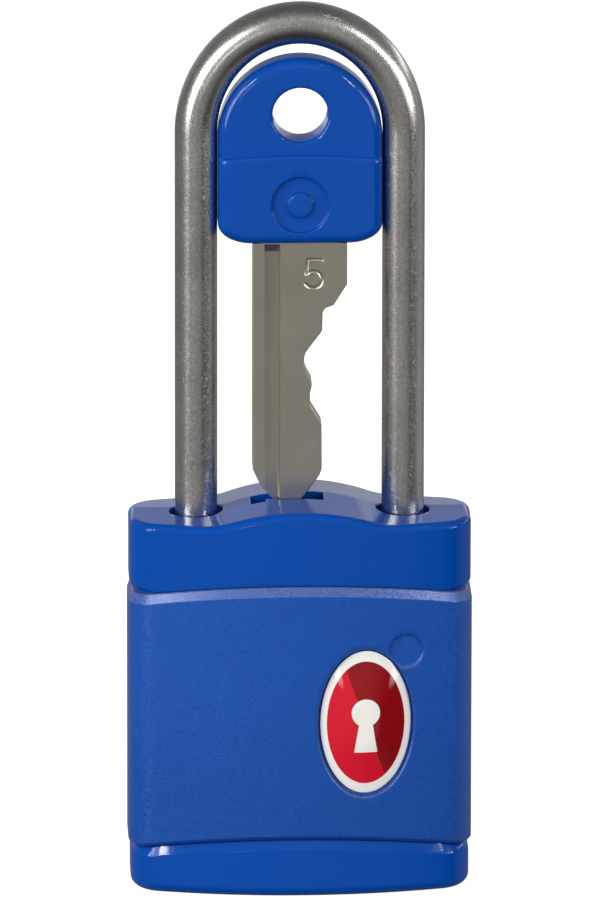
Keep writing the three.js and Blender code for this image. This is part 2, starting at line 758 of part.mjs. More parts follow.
function keyHead() {
  const rings = [];
  for (let i = 0; i <= edgeSteps; i++) {
    const turn = (Math.PI / 2) * (1 - i / edgeSteps);
    rings.push(headRing(headEdgeRadius * (1 - Math.cos(turn)), -1 - headEdgeRadius * (1 - Math.sin(turn))));
  }
  for (let i = 0; i <= edgeSteps; i++) {
    const turn = (Math.PI / 2) * (i / edgeSteps);
    rings.push(headRing(headEdgeRadius * (1 - Math.cos(turn)), 1 + headEdgeRadius * (1 - Math.sin(turn))));
  }
  const tangHalf = tangWidth / 2 + seatGap;
  const pocket = block(
    -tangHalf, tangHalf, -bladeThickness / 2 - seatGap, bladeThickness / 2 + seatGap,
    headBase - 1, headBase + tangLength + seatGap,
  );
  const ringHole = crossways(0, headBase + headHeight - ringHoleDrop, ringHoleDiameter / 2, headThickness, roundSegments);
  const dimple = solid(new THREE.CylinderGeometry(dimpleDiameter / 2, dimpleDiameter / 2, headThickness, roundSegments)
    .translate(0, -headThickness + dimpleDepth, headBase + dimpleHeight));
  return cut(solid(loft(rings)), pocket, ringHole, dimple);
}

// ---- Assembly ----

const finishes = {
  gloss: { color: 0x0a459c, roughness: 0.18, metalness: 0 },
  pearl: { color: 0x22509b, roughness: 0.38, metalness: 0.6 },
  steel: { color: 0x8f9194, roughness: 0.3, metalness: 1 },
  nickel: { color: 0xa09c90, roughness: 0.35, metalness: 1 },
  zinc: { color: 0x7d8085, roughness: 0.6, metalness: 1 },
  brass: { color: 0xb08d4a, roughness: 0.4, metalness: 1 },
  enamel: { color: 0xc4182c, roughness: 0.15, metalness: 0 },
};

const padlock = new THREE.Group();
padlock.name = 'padlock';

function place(name, body, finish) {
  const { vertProperties, triVerts } = body.getMesh();
  const geometry = new THREE.BufferGeometry();
  geometry.setAttribute('position', new THREE.BufferAttribute(vertProperties, 3));
  geometry.setIndex(new THREE.BufferAttribute(triVerts, 1));
  geometry.computeVertexNormals();
  const mesh = new THREE.Mesh(geometry, new THREE.MeshStandardMaterial(finishes[finish]));
  mesh.name = name;
  padlock.add(mesh);
}

place('body_sleeve', bodySleeve(), 'pearl');
place('top_cap', topCap(), 'gloss');
place('bottom_cap', bottomCap(), 'gloss');
place('badge', badge(), 'enamel');
place('lock_core', lockCore(), 'zinc');
place('base_plate', basePlate(), 'steel');
place('base_screw_left', baseScrew(-1), 'steel');
place('base_screw_right', baseScrew(1), 'steel');
place('heel_retaining_pin', crossPin(heelPinAcross, heelPinHeight, heelPinRadius), 'steel');
place('plug_retaining_pin', crossPin(plugPinAcross, plugPinZ, plugPinRadius), 'steel');
place('heel_spring', heelSpring(), 'steel');
place('shackle', shackle(), 'steel');
place('locking_ball', ballShape(ballFreeAcross, ballHeight, ballRadius), 'steel');
place('lock_plug', lockPlug(), 'brass');
place('plug_face', plugFace(), 'gloss');
for (let i = 0; i < waferCount; i++) place(`wafer_${i + 1}`, wafer(waferTop - i * waferPitch), 'brass');
place('key_blade', keyBlade(), 'nickel');
place('key_head', keyHead(), 'gloss');

export default padlock;
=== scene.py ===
"""A small keyed luggage padlock with its key standing in the keyway, in a plain studio.

Meshes are made in millimetres and placed in metres, +Z up, with the origin at the middle of the
base. The badge side faces -Y.
"""

import math

import bmesh
import bpy
import numpy as np
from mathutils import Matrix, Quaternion, Vector


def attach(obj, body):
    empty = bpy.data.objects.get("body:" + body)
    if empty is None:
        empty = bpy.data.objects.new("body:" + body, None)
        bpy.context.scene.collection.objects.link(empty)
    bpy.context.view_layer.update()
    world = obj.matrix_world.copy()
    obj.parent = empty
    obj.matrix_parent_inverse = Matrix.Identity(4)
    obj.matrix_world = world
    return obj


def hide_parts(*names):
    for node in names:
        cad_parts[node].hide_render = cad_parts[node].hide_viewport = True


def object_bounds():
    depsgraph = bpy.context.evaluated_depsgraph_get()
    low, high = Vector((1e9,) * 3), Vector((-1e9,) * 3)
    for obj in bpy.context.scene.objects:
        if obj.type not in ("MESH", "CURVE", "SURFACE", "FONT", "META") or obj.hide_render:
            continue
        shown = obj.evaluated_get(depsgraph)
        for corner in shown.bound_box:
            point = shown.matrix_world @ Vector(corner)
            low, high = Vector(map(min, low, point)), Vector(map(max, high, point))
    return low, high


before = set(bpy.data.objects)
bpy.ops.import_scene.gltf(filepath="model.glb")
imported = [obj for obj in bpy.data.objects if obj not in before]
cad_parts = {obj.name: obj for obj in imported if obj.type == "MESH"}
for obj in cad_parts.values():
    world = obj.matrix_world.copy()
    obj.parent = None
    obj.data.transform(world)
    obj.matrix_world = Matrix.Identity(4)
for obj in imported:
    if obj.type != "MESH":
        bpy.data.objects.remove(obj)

cad_low, cad_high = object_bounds()
scene = bpy.context.scene


# ---- Camera ----
# A very long lens in front of the badge side, raised so that the top of the body shows, and with
# the slight roll of a hand-set tripod.

camera_azimuth = -2.0
camera_elevation = 16.5
camera_distance = 1.5
camera_lens = 689.5  # millimetres, over a 36 mm frame
camera_roll = 0.08
camera_drop = 0.00067  # of the aim below the middle of the padlock


def bearing(azimuth, elevation):
    """The direction to a place round the padlock: azimuth 0 is in front of the badge, 90 to its right."""
    turn, rise = math.radians(azimuth), math.radians(elevation)
    return Vector((math.sin(turn) * math.cos(rise), -math.cos(turn) * math.cos(rise), math.sin(rise)))


middle = (cad_low + cad_high) / 2
aim = Vector((0.00005, 0.0, middle.z - camera_drop))
camera = bpy.data.objects.new("camera", bpy.data.cameras.new("camera"))
camera.data.lens = camera_lens
camera.data.sensor_width = 36.0
camera.location = aim + camera_distance * bearing(camera_azimuth, camera_elevation)
level_view = (-bearing(camera_azimuth, camera_elevation)).to_track_quat("-Z", "Y")
camera.rotation_euler = (level_view @ Quaternion((0, 0, 1), math.radians(camera_roll))).to_euler()
scene.collection.objects.link(camera)
scene.camera = camera
scene.view_settings.view_transform = "Standard"


# ---- Studio light ----
# Two tall soft screens lean in from the left and right, with thin lamps and small boxes beside them
# for the glints, and two strips close behind that the cap's top mirrors. Three fills stand for light
# off the walls. The grey room has soft patches of light and shade, and a paler wall low behind.

room = 0.22  # radiance of the room

soft_boxes = {
    # name: azimuth, elevation, distance, width, height, radiance, and lean of its top to the right
    "screen_left": (-48, 9, 0.95, 0.30, 0.52, 6.8, 18),
    "screen_right": (54, 8, 0.95, 0.24, 0.42, 5.0, -20),
    "card_low_right": (116, 17, 0.95, 0.80, 0.11, 2.5, 0),
    "lamp_left": (-60, 12, 0.70, 0.026, 0.22, 30.0, 0),
    "lamp_right": (66, 10, 0.70, 0.022, 0.20, 36.0, 0),
    "card_upper_left": (-52, 25, 0.95, 0.16, 0.14, 8.0, 0),
    "box_front_left": (-35, 26, 0.70, 0.026, 0.14, 70.0, 0),
    "box_front_right": (40, 26, 0.70, 0.022, 0.14, 70.0, 0),
    "lamp_high_right": (44, 60, 0.70, 0.05, 0.02, 12.0, 0),
    "strip_behind_low": (180, 6, 0.12, 0.16, 0.022, 0.62, 0),
    "strip_behind_high": (180, 17, 0.12, 0.16, 0.022, 0.30, 0),
    "fill_left": (-70, 25, 0.95, 0.50, 0.50, 3.4, 0),
    "fill_front": (10, 25, 0.95, 0.50, 0.50, 0.7, 0),
    "fill_back": (184, 12, 0.95, 0.50, 0.50, 4.0, 0),
}
fills = ("fill_left", "fill_front", "fill_back")  # they shade the padlock and aren't mirrored in it
lamp_colour = (1.0, 0.985, 0.96)
room_colour = (1.0, 0.985, 0.965, 1.0)

room_tones = (
    # azimuth, elevation, half width of the core and of the whole patch in degrees, and gain
    (-6, -14, 14, 40, 0.12),
    (-12, -1, 2.2, 4.2, 6.0),
    (42, -3, 2.2, 4.2, 6.0),
    (50, -14, 10, 26, -0.21),
    (104, -14, 10, 28, 0.14),
    (0, 46, 8, 34, 0.10),
    (-10, 27, 10, 26, 0.15),
    (20, 27, 10, 26, 0.15),
    (0, -55, 22, 40, -0.18),
    (0, 90, 15, 50, -0.08),
)
wall_tones = (
    # rise from and to, as the sine of the elevation, and the gain that ends there
    (0.19, 0.28, 0.06),
    (0.30, 0.60, 0.12),
)


class Shade:
    """A socket of a shader. Sums and products of sockets add the nodes that work them out."""

    def __init__(self, tree, socket=None):
        self.tree = tree
        self.socket = socket

    def make(self, kind, settings=None, inputs=None, output=0):
        """Adds a node, sets it up, feeds its sockets and gives one of its outputs."""
        node = self.tree.nodes.new(kind)
        for name, value in (settings or {}).items():
            setattr(node, name, value)
        for name, value in (inputs or {}).items():
            if isinstance(value, Shade):
                self.tree.links.new(value.socket, node.inputs[name])
            else:
                node.inputs[name].default_value = value
        return Shade(self.tree, node.outputs[output])

    def sum(self, operation, first, second):
        """Arithmetic on numbers goes through Math, and on vectors through Vector Math."""
        values = [first, second]
        wide = any(
            v.socket.type in ("VECTOR", "RGBA") if isinstance(v, Shade) else isinstance(v, tuple)
            for v in values
        )
        kind = "ShaderNodeVectorMath" if wide else "ShaderNodeMath"
        if wide:
            values = [(v, v, v) if isinstance(v, (int, float)) else v for v in values]
        return self.make(kind, {"operation": operation}, dict(enumerate(values)))

    def __add__(self, other):
        return self.sum("ADD", self, other)

    def __radd__(self, other):
        return self.sum("ADD", other, self)

    def __sub__(self, other):
        return self.sum("SUBTRACT", self, other)

    def __rsub__(self, other):
        return self.sum("SUBTRACT", other, self)

    def __mul__(self, other):
        return self.sum("MULTIPLY", self, other)

    def __rmul__(self, other):
        return self.sum("MULTIPLY", other, self)

    def __truediv__(self, other):
        return self.sum("DIVIDE", self, other)

    def __rtruediv__(self, other):
        return self.sum("DIVIDE", other, self)

    def __pow__(self, other):
        return self.sum("POWER", self, other)

    def __rpow__(self, other):
        return self.sum("POWER", other, self)

    def at_least(self, other):
        """The greater of two numbers."""
        return self.sum("MAXIMUM", self, other)

    def toward(self, direction):
        """How far a unit direction points the given way: 1 where they agree."""
        settings = {"operation": "DOT_PRODUCT"}
        return self.make("ShaderNodeVectorMath", settings, {0: self, 1: direction}, "Value")

    def part(self, axis):
        """One of a vector's three numbers."""
        return self.make("ShaderNodeSeparateXYZ", {}, {0: self}, axis)

    def ramp(self, low, high, start=0.0, end=1.0):
        """Runs from start at low to end at high, and stays there beyond them."""
        return self.make("ShaderNodeMapRange", {"interpolation_type": "SMOOTHSTEP"}, {
            "Value": self, "From Min": low, "From Max": high, "To Min": start, "To Max": end,
        })

    def between(self, first, second):
        """A colour from the first at 0 to the second at 1."""
        colours = [c if isinstance(c, Shade) else (*c, 1.0) for c in (first, second)]
        inputs = {0: self, 6: colours[0], 7: colours[1]}
        return self.make("ShaderNodeMix", {"data_type": "RGBA"}, inputs, 2)

    def noise(self, size, detail=2.0, roughness=0.5):
        """Clouds of about this size in millimetres, from 0 to 1, at a place in metres."""
        return self.make("ShaderNodeTexNoise", {}, {
            "Vector": self, "Scale": 1000.0 / size, "Detail": detail, "Roughness": roughness,
        }, "Fac")

    def bump(self, height):
        """A surface normal raised by this many millimetres where the socket is 1."""
        inputs = {"Height": self, "Distance": height / 1000.0, "Strength": 1.0}
        return self.make("ShaderNodeBump", {}, inputs)


world = bpy.data.worlds.new("grey_room")
world.use_nodes = True
world.node_tree.nodes.clear()
scene.world = world
air = Shade(world.node_tree)
look = air.make("ShaderNodeTexCoord", {}, {}, "Generated")
glow = room
for azimuth, elevation, core, reach, gain in room_tones:
    patch = look.toward(bearing(azimuth, elevation))
    glow = glow + gain * patch.ramp(math.cos(math.radians(reach)), math.cos(math.radians(core)))
behind = look.part(1).ramp(0.25, 0.7) * look.part(2).ramp(-0.10, 0.05)  # 1 over the wall behind
for start, end, gain in wall_tones:
    glow = glow + gain * (behind * look.part(2).ramp(start, end, 1.0, 0.0))
background = air.make("ShaderNodeBackground", {}, {"Color": room_colour, "Strength": glow})
world_output = world.node_tree.nodes.new("ShaderNodeOutputWorld")
world.node_tree.links.new(background.socket, world_output.inputs["Surface"])

for name, (azimuth, elevation, distance, width, height, radiance, lean) in soft_boxes.items():
    lamp = bpy.data.lights.new(name, "AREA")
    lamp.shape = "RECTANGLE"
    lamp.size, lamp.size_y = width, height
    lamp.energy = radiance * math.pi * width * height
    lamp.color = lamp_colour
    box = bpy.data.objects.new(name, lamp)
    box.location = middle + distance * bearing(azimuth, elevation)
    facing = bearing(azimuth, elevation).to_track_quat("Z", "Y")
    box.rotation_euler = (facing @ Quaternion((0, 0, 1), -math.radians(lean))).to_euler()
    box.visible_glossy = name not in fills
    box.visible_camera = False
    scene.collection.objects.link(box)


# ---- Floor ----
# A wide sheet of glowing white card. It takes the padlock's shadow, but neither lights it nor is
# mirrored in its gloss.

floor_half = 4.0
floor_glow = 0.85


def new_finish(name):
    """An empty material and the place to build it in."""
    made = bpy.data.materials.new(name)
    made.use_nodes = True
    made.node_tree.nodes.clear()
    return made, Shade(made.node_tree)


def coat(shade, inputs):
    """Ends a finish with its surface."""
    surface = shade.make("ShaderNodeBsdfPrincipled", {}, inputs)
    output = shade.tree.nodes.new("ShaderNodeOutputMaterial")
    shade.tree.links.new(surface.socket, output.inputs["Surface"])


white_card, card = new_finish("white_card")
card_place = card.make("ShaderNodeTexCoord", {}, {}, "Object")
card_fibre = card_place.noise(0.9, 3.0)
coat(card, {
    "Base Color": card_fibre.between((0.54, 0.54, 0.54), (0.57, 0.57, 0.57)),
    "Roughness": 0.9,
    "Specular IOR Level": 0.2,
    "Emission Color": (1.0, 1.0, 1.0, 1.0),
    "Emission Strength": floor_glow,
    "Normal": card_fibre.bump(0.02),
})
floor_mesh = bpy.data.meshes.new("floor")
floor_mesh.from_pydata(
    [(x, y, 0.0) for x, y in ((-floor_half, -floor_half), (floor_half, -floor_half),
                              (floor_half, floor_half), (-floor_half, floor_half))],
    [], [(0, 1, 2, 3)],
)
floor = bpy.data.objects.new("floor", floor_mesh)
floor.data.materials.append(white_card)
floor.visible_glossy = False
floor.visible_diffuse = False
scene.collection.objects.link(floor)


# ---- Lock core and what runs in it ----
# A zinc casting with the plug, its wafers, the ball, two cross pins and the heel's spring, held
# down by a steel plate and two slotted screws. Their solids stay, with the finish of each metal.


def dress(node, finish):
    """Gives a CAD node a finish."""
    node.data.materials.clear()
    node.data.materials.append(finish)


zinc_casting, zinc = new_finish("zinc_casting")
zinc_place = zinc.make("ShaderNodeTexCoord", {}, {}, "Object")
zinc_skin = zinc_place.noise(0.5, 5.0, 0.6)
zinc_flow = zinc_place.noise(4.0, 2.0)
coat(zinc, {
    "Base Color": zinc_flow.between((0.30, 0.31, 0.32), (0.42, 0.42, 0.43)),
    "Metallic": 1.0,
    "Roughness": zinc_skin.ramp(0.2, 0.8, 0.45, 0.65),
    "Normal": zinc_skin.bump(0.03),
})

plated_steel, plated = new_finish("plated_steel")
plated_place = plated.make("ShaderNodeTexCoord", {}, {}, "Object")
plated_grain = plated_place.noise(0.25, 4.0, 0.6)
plated_stain = plated_place.noise(2.2, 2.0)
coat(plated, {
    "Base Color": plated_stain.between((0.52, 0.53, 0.55), (0.66, 0.66, 0.66)),
    "Metallic": 1.0,
    "Roughness": plated_grain.ramp(0.2, 0.8, 0.22, 0.38),
    "Normal": plated_grain.bump(0.006),
})

turned_brass, turned = new_finish("turned_brass")
turned_place = turned.make("ShaderNodeTexCoord", {}, {}, "Object")
turned_lines = (turned_place * (0.1, 0.1, 1.0)).noise(0.12, 2.0)
turned_tint = turned_place.noise(3.0, 2.0)
coat(turned, {
    "Base Color": turned_tint.between((0.55, 0.38, 0.14), (0.72, 0.53, 0.24)),
    "Metallic": 1.0,
    "Roughness": turned_lines.ramp(0.2, 0.8, 0.25, 0.42),
    "Normal": turned_lines.bump(0.008),
})

dress(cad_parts["lock_core"], zinc_casting)
for name in ("base_plate", "base_screw_left", "base_screw_right", "heel_retaining_pin",
             "plug_retaining_pin", "heel_spring", "locking_ball"):
    dress(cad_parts[name], plated_steel)
for name in ("lock_plug", "wafer_1", "wafer_2", "wafer_3", "wafer_4", "wafer_5"):
    dress(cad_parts[name], turned_brass)


# ---- Bottom cap ----
# A tray moulded in glossy blue plastic. Its upper edge is rounded and follows the sleeve's arched
# seam, and a lip inside it stands up behind the sleeve. The foot has a large soft radius.

half_width = 15.0
half_depth = 6.5
bow_radius = 49.0
corner_radius = 3.0
sleeve_wall = 0.85
press_gap = 0.12
core_inset = sleeve_wall + press_gap
seam_arch = 1.4
seam_gap = 0.08
lower_seam = 5.35
cap_edge = 0.9
foot_radius = 1.0
cap_floor = 1.6
bottom_lip = 0.8
lip_length = 1.5
bottom_half_width = half_width - 0.2
cap_half_depth = half_depth - 0.45
bow_steps = 96
corner_steps = 12
hold = 0.05  # width of the flat kept beside each rounded edge


def level(height):
    """The same height everywhere."""
    return lambda x, y: np.full_like(x, height)


def seam(middle_height, offset=0.0):
    """A seam round the body: highest in the middle of the front."""
    return lambda x, y: middle_height + offset - seam_arch * (x / half_width) ** 2


def both_sides(side, mirror):
    """A ring: one side's points, and then the other side's back again."""
    return np.vstack([side, (side * mirror)[::-1]])


def plan_ring(width, depth, inset, height):
    """The body's outline, bowed front and back with rounded corners, drawn in by an inset."""
    bow_centre = depth - bow_radius
    corner_x = width - corner_radius
    corner_y = bow_centre + math.sqrt((bow_radius - corner_radius) ** 2 - corner_x ** 2)
    meet = math.atan2(corner_y - bow_centre, corner_x)
    arcs = (
        (corner_x, corner_y, corner_radius, np.linspace(0, meet, corner_steps, endpoint=False)),
        (0.0, bow_centre, bow_radius, np.linspace(meet, math.pi - meet, bow_steps + 1)),
        (-corner_x, corner_y, corner_radius, np.linspace(math.pi - meet, math.pi, corner_steps + 1)[1:]),
    )
    x = np.concatenate([cx + (r - inset) * np.cos(turn) for cx, cy, r, turn in arcs])
    y = np.concatenate([cy + (r - inset) * np.sin(turn) for cx, cy, r, turn in arcs])
    side = np.column_stack([x, y, np.zeros_like(x)])
    ring = both_sides(side, (1, -1, 1))
    ring[:, 2] = height(ring[:, 0], ring[:, 1])
    return ring


def rounded(path, radii, steps=6):
    """A path of (inset, rise) points with its inner corners rounded, and a flat beside each of them."""
    made = [np.array(path[0], float)]
    for before, corner, after, radius in zip(path, path[1:], path[2:], radii):
        corner = np.array(corner, float)
        back, on = np.array(before, float) - corner, np.array(after, float) - corner
        back, on = back / np.linalg.norm(back), on / np.linalg.norm(on)
        half = math.acos(np.clip(back @ on, -1, 1)) / 2
        reach = radius / math.tan(half)
        start, end = corner + back * reach, corner + on * reach
        bisector = (back + on) / np.linalg.norm(back + on)
        centre = corner + bisector * radius / math.sin(half)
        made.append(start + back * hold)
        sweep = math.pi - 2 * half
        first = start - centre
        side = 1.0 if first[0] * (end - centre)[1] - first[1] * (end - centre)[0] > 0 else -1.0
        for turn in np.linspace(0, sweep * side, steps + 1):
            c, s = math.cos(turn), math.sin(turn)
            made.append(centre + np.array([first[0] * c - first[1] * s, first[0] * s + first[1] * c]))
        made.append(end + on * hold)
    made.append(np.array(path[-1], float))
    return made


def band(width, depth, profile, base):
    """Rings of the outline for each (inset, rise) of a profile, above a base that varies along it."""
    return [
        plan_ring(width, depth, inset, lambda x, y, rise=rise: base(x, y) + rise)
        for inset, rise in profile
    ]


def solid(name, points, faces):
    """A closed mesh as an object, with its faces pointing out."""
    mesh = bpy.data.meshes.new(name)
    mesh.from_pydata([tuple(p) for p in points], [], faces)
    work = bmesh.new()
    work.from_mesh(mesh)
    bmesh.ops.remove_doubles(work, verts=work.verts, dist=1e-4)
    bmesh.ops.recalc_face_normals(work, faces=work.faces)
    work.to_mesh(mesh)
    work.free()
    made = bpy.data.objects.new(name, mesh)
    scene.collection.objects.link(made)
    return made


def loft(name, rings, across=0, lids=(None, None), loop=False):
    """Skins a stack of rings. The ends are flat, or are strips across the ring with their own shape."""
    rings = np.array(rings)
    count = rings.shape[1]
    points = [tuple(p) for p in rings.reshape(-1, 3)]
    faces = []
    for k in range(len(rings) - (0 if loop else 1)):
        low, high = k * count, (k + 1) % len(rings) * count
        for i in range(count):
            j = (i + 1) % count
            faces.append((low + i, low + j, high + j, high + i))
    if loop:
        return solid(name, points, faces)
    for first, shape in zip((0, (len(rings) - 1) * count), lids):
        if not across:
            faces.append(tuple(range(first, first + count)))
            continue
        rows = []
        for i in range(count // 2):
            near, far = first + i, first + count - 1 - i
            inner = []
            if 0 < i < count // 2 - 1:
                share = np.linspace(0, 1, across + 1)[1:-1, None]
                strip = np.array(points[near]) * (1 - share) + np.array(points[far]) * share
                inner = list(range(len(points), len(points) + len(strip)))
                points += [tuple(p) for p in (shape(strip) if shape else strip)]
            rows.append([near, *inner, far])
        faces.append((*rows[0], *reversed(rows[1])))
        faces.append((*rows[-2], *reversed(rows[-1])))
        for row, after in zip(rows[1:-2], rows[2:-1]):
            for a, b, c, d in zip(row, row[1:], after[1:], after):
                faces.append((a, b, c, d))
    return solid(name, points, faces)


def place(piece, body, slot, finish, *nodes, sharp=35.0):
    """Brings a finished mesh to metres, sets its finish and puts it on its body in place of its solids."""
    for vertex in piece.data.vertices:
        vertex.co *= 0.001
    piece.data.shade_smooth()
    piece.data.set_sharp_from_angle(angle=math.radians(sharp))
    piece.data.materials.clear()
    piece.data.materials.append(finish)
    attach(piece, body)
    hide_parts(*nodes)
    return piece


def blue_plastic(name, deep, bright, rough, peel, gloss):
    """Blue plastic coloured all through: a faint flow in its colour, and the fine skin of its mould."""
    made, shade = new_finish(name)
    at = shade.make("ShaderNodeTexCoord", {}, {}, "Object")
    flow = at.noise(5.0, 2.0)
    skin = at.noise(0.35, 3.0, 0.55)
    wave = at.noise(2.6, 1.0)
    scuffs = (at * (1.0, 1.0, 0.12)).noise(0.10, 2.0).ramp(0.70, 0.82)
    coat(shade, {
        "Base Color": flow.between(deep, bright),
        "Roughness": rough + 0.05 * skin + 0.10 * scuffs,
        "Specular IOR Level": gloss,
        "Normal": (skin * (peel * 0.35) + wave * peel).bump(1.0),
    })
    return made


blue_gloss = blue_plastic("blue_gloss", (0.0002, 0.060, 0.360), (0.0004, 0.064, 0.380), 0.05, 0.003, 0.24)

lip_inside = core_inset + bottom_lip
rim_tuck = core_inset - (half_depth - cap_half_depth)
rim_turn = math.acos(1 - rim_tuck / cap_edge)
front_reach = (12.4, 14.2)  # across: where the front's own edge ends, and where the corner's starts


def two_edged(front_rings, corner_rings):
    """Rings that take one shape along the front and back, and another round the corners."""
    start, end = front_reach
    made = []
    for on_front, on_corner in zip(front_rings, corner_rings):
        share = np.clip((np.abs(on_front[:, :1]) - start) / (end - start), 0, 1)
        share = share * share * (3 - 2 * share)
        made.append(on_front * (1 - share) + on_corner * share)
    return made


def quarter(radius, start, end, steps=8):
    """A rounded edge as (inset, drop) points: turn 0 is on the wall and 90 degrees on the face."""
    turns = np.linspace(start, end, steps + 1)
    return [(radius * (1 - math.cos(t)), radius * (1 - math.sin(t))) for t in turns]


bottom_rim = seam(lower_seam, -seam_gap)
rim_chamfer = (0.34, 0.85)  # depth and height along the front
rim_softness = (0.25, 0.06)  # radius of the chamfer's lower and upper corner
chamfer_path = rounded(
    [(0.0, 2.0), (0.0, rim_chamfer[1]), (rim_chamfer[0], 0.0), (0.6, 0.0)], rim_softness, 3,
)[1:-1]
bottom_rings = (
    band(bottom_half_width, cap_half_depth, [(foot_radius + hold, 0.0)], level(0.0))
    + band(bottom_half_width, cap_half_depth, quarter(foot_radius, 0, math.pi / 2, 10)[::-1], level(0.0))
    + band(bottom_half_width, cap_half_depth, [(0.0, hold)], level(foot_radius))
    + two_edged(
        band(bottom_half_width, cap_half_depth, [(i, -d) for i, d in chamfer_path], bottom_rim),
        band(bottom_half_width, cap_half_depth,
             [(i, -d) for i, d in quarter(cap_edge, 0, rim_turn, len(chamfer_path) - 1)], bottom_rim),
    )
    + band(half_width, half_depth, [(core_inset, 0.0)], bottom_rim)
    + band(half_width, half_depth, [
        (core_inset, 0.0), (lip_inside, 0.0), (lip_inside, cap_floor - lower_seam - lip_length),
    ], level(lower_seam + lip_length))
)
bottom_cap = loft("bottom_cap_moulding", bottom_rings, across=8)
place(bottom_cap, "case", "blue_gloss", blue_gloss, "bottom_cap")


# ---- Sleeve ----
# A seamless tube pressed from thin metal and sprayed with a satin pearl lacquer. Its upper edge is
# bevelled, its lower edge is eased, and the front has a sunk oval for the badge and a small round mark.

upper_seam = 28.5
bevel_height = 0.8
bevel_depth = 0.35
crease_radius = 0.35
badge_across, badge_up = 5.6, 16.0
badge_half_width, badge_half_height = 7.9 / 2, 12.9 / 2
badge_gap = 0.24
badge_sunk, badge_mouth, badge_fillet = 0.62, 0.22, 0.1
mark_across, mark_up, mark_radius = 9.1, 22.4, 1.5
mark_sunk, mark_mouth, mark_fillet = 0.3, 0.14, 0.08


def front_face(x, z, sunk):
    """Points on the sleeve's front at a place across and up it, sunk below its face."""
    return np.column_stack([x, bow_radius - half_depth - np.sqrt((bow_radius - sunk) ** 2 - x ** 2), z])


def oval_tool(name, centre, half_size, profile, put, count=96, loop=False):
    """A cutter of oval rings, each grown by a width and sunk by a depth, put in place by a function."""
    turn = np.linspace(0, 2 * math.pi, count, endpoint=False)
    across, up = np.cos(turn), np.sin(turn)
    rings = [
        put(centre[0] + (half_size[0] + grown) * across, centre[1] + (half_size[1] + grown) * up, sunk)
        for grown, sunk in profile
    ]
    return loft(name, rings, loop=loop)


def eased_mouth(radius, start=20.0, steps=6):
    """The rounded mouth of a recess as (growth, depth) points, from above the face into the wall."""
    first = math.radians(start)
    turns = np.linspace(first, math.pi / 2, steps)
    arc = [(radius * (1 - math.sin(t)), radius * (1 - math.cos(t))) for t in turns]
    run = 0.3
    mouth = (arc[0][0] + run * math.cos(first), arc[0][1] - run * math.sin(first))
    return [(mouth[0], -1.5), mouth, *arc]


def sunk_floor(depth, radius, half_size, steps=4):
    """The fillet and floor of a recess as (growth, depth) points."""
    turns = np.linspace(0, math.pi / 2, steps)
    fillet = [(-radius * (1 - math.cos(t)), depth - radius * (1 - math.sin(t))) for t in turns]
    return [*fillet, *((-half_size * share, depth) for share in (0.3, 0.6, 0.85))]


def cut(piece, *tools):
    """Takes the tools away from a piece."""
    for tool in tools:
        step = piece.modifiers.new("cut", "BOOLEAN")
        step.object = tool
        step.operation = "DIFFERENCE"
        step.solver = "EXACT"
    graph = bpy.context.evaluated_depsgraph_get()
    piece.data = bpy.data.meshes.new_from_object(piece.evaluated_get(graph))
    piece.modifiers.clear()
    for tool in tools:
        bpy.data.objects.remove(tool)
    return piece


low_edge = seam(lower_seam, seam_gap)
high_edge = seam(upper_seam, -seam_gap)
edge_run = 2.0  # of the wall beside each edge
lower_profile = rounded(
    [(sleeve_wall, 0.0), (bevel_depth, 0.0), (0.0, bevel_depth), (0.0, edge_run)], (0.12, 0.25), 4,
)
upper_profile = rounded(
    [(0.0, -edge_run), (0.0, -bevel_height), (bevel_depth, 0.0), (sleeve_wall, 0.0)],
    (crease_radius, 0.12), 4,
)


def up_the_wall(share):
    """A height part of the way from the lower edge to the upper one."""
    return lambda x, y: (low_edge(x, y) + edge_run) * (1 - share) + (high_edge(x, y) - edge_run) * share


wall_rows = [
    plan_ring(half_width, half_depth, 0.0, up_the_wall(share)) for share in np.linspace(0, 1, 26)[1:-1]
]
sleeve = loft("sleeve_tube", [
    *band(half_width, half_depth, lower_profile, low_edge),
    *wall_rows,
    *band(half_width, half_depth, upper_profile, high_edge),
], loop=True)
recess_half = (badge_half_width + badge_gap, badge_half_height + badge_gap)
mark_half = (mark_radius, mark_radius)
badge_profile = [*eased_mouth(badge_mouth), *sunk_floor(badge_sunk, badge_fillet, badge_half_width)]
mark_profile = [*eased_mouth(mark_mouth), *sunk_floor(mark_sunk, mark_fillet, mark_radius)]
cut(
    sleeve,
    oval_tool("badge_recess", (badge_across, badge_up), recess_half, badge_profile, front_face, 128),
    oval_tool("mark_recess", (mark_across, mark_up), mark_half, mark_profile, front_face, 72),
)

pearl_lacquer, pearl = new_finish("pearl_lacquer")
pearl_at = pearl.make("ShaderNodeTexCoord", {}, {}, "Object")
flake_size = 0.10
flakes = {"Vector": pearl_at, "Scale": 1000.0 / flake_size}
pearl_flakes = pearl.make("ShaderNodeTexVoronoi", {}, flakes, "Color")
pearl_cloud = pearl_at.noise(0.24, 3.0, 0.6)
pearl_drift = pearl_at.noise(5.0, 3.0)
# painted shade: the lacquer's tint is made darker towards the bottom of the sleeve
pearl_painted_fade = pearl_at.part(2).ramp(0.004, 0.022)
pearl_blend = 0.40 * pearl_flakes.part(0) + 0.25 * pearl_cloud + 0.15 * pearl_drift + 0.20 * pearl_painted_fade
pearl_tint = pearl_blend.ramp(0.2, 0.85)
pearl_facing = pearl.make("ShaderNodeNewGeometry", {}, {}, "Normal")
pearl_lean = pearl_facing + 0.16 * (pearl_flakes - 0.5)  # each flake lies a little askew
pearl_lean = pearl.make("ShaderNodeVectorMath", {"operation": "NORMALIZE"}, {0: pearl_lean})
pearl_blue = pearl_tint.between((0.002, 0.062, 0.34), (0.006, 0.088, 0.45))
# colours of the painted sheen on faces that look up
pearl_sheen_tint = pearl_tint.between((0.01, 0.07, 0.33), (0.14, 0.19, 0.42))
